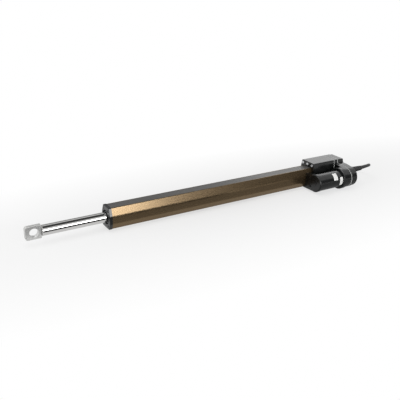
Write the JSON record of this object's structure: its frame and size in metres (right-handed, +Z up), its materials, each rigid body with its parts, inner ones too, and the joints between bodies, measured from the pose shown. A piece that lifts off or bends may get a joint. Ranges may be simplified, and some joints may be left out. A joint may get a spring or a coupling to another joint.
{
  "type": "electric linear actuator",
  "caption": "Electric lead-screw linear actuator with a parallel motor, a round barrel, a chromed rod with a flat eye, a rear clevis and a coiled cord.",
  "frame": {"origin": "centre of the bore in the rear clevis", "axes": "+X along the barrel, the way the rod extends; +Y along the clevis bore, towards the motor; +Z up, through the cover strip"},
  "size_m": [0.84, 0.1825, 0.0583],
  "materials": {
    "bronze_anodised": "satin anodised",
    "black_cast": "matt black paint",
    "black_plastic": "fine matt grain",
    "strip_grey": "satin",
    "gasket_grey": "matt",
    "black_rubber": "matt",
    "chrome": "polished",
    "machined_steel": "turned and polished",
    "screw_steel": "zinc plated",
    "white_polymer": "natural",
    "board_green": "satin",
    "magnet_grey": "matt",
    "stack_steel": "matt",
    "copper": "bright"
  },
  "bodies": {
    "housing": {"barrel": "bronze_anodised", "rear_clevis": "black_cast", "clevis_screws": "screw_steel", "rear_cover": "black_cast", "cover_screws": "screw_steel", "rear_gasket": "gasket_grey", "gear_case": "black_cast", "case_screws": "screw_steel", "motor_screws": "screw_steel", "front_gasket": "gasket_grey", "rear_housing": "black_plastic", "housing_screws": "screw_steel", "control_board": "board_green", "cover_strip": "strip_grey", "sensor_board": "board_green", "front_cap": "black_cast", "cap_screws": "screw_steel", "wiper_seal": "black_rubber", "front_guide_bush": "white_polymer", "screw_bearings": "machined_steel", "bearing_retainer": "machined_steel", "idler_pin": "machined_steel", "motor_end_bell": "black_plastic", "motor_can": "black_cast", "motor_magnets": "magnet_grey", "motor_brushes": "magnet_grey", "motor_bearings": "machined_steel", "motor_bracket": "black_cast", "bracket_screws": "screw_steel", "cable_gland": "black_rubber", "cable": "black_rubber", "cable_coil": "black_rubber", "cable_plug": "black_plastic", "plug_pins": "copper"},
    "rod": {"rod_tube": "chrome", "rod_eye": "machined_steel", "drive_nut": "white_polymer", "nut_magnet": "machined_steel"},
    "screw": {"lead_screw": "machined_steel", "screw_gear": "machined_steel", "screw_circlip": "machined_steel", "screw_tip_bush": "white_polymer"},
    "idler": {"idler_gear": "machined_steel"},
    "rotor": {"motor_shaft": "machined_steel", "motor_pinion": "machined_steel", "motor_armature": "stack_steel", "motor_windings": "copper", "motor_commutator": "copper"}
  },
  "joints": [
    {"name": "rod_slide", "type": "slide", "parent": "housing", "child": "rod", "axis": [1, 0, 0], "range_m": [-0.105, 0.345]},
    {"name": "screw_spin", "type": "hinge", "parent": "housing", "child": "screw", "pos_m": [0, 0, 0], "axis": [1, 0, 0], "continuous": true},
    {"name": "idler_spin", "type": "hinge", "parent": "housing", "child": "idler", "pos_m": [0, 0.0257, -0.00395], "axis": [1, 0, 0], "continuous": true},
    {"name": "motor_spin", "type": "hinge", "parent": "housing", "child": "rotor", "pos_m": [0, 0.0475, -0.001], "axis": [1, 0, 0], "continuous": true}
  ],
  "couplings": [
    {"joint": "screw_spin", "follows": "rod_slide", "rad_per_m": -523.6},
    {"joint": "idler_spin", "follows": "rod_slide", "rad_per_m": 1745.3},
    {"joint": "motor_spin", "follows": "rod_slide", "rad_per_m": -4654.2}
  ]
}
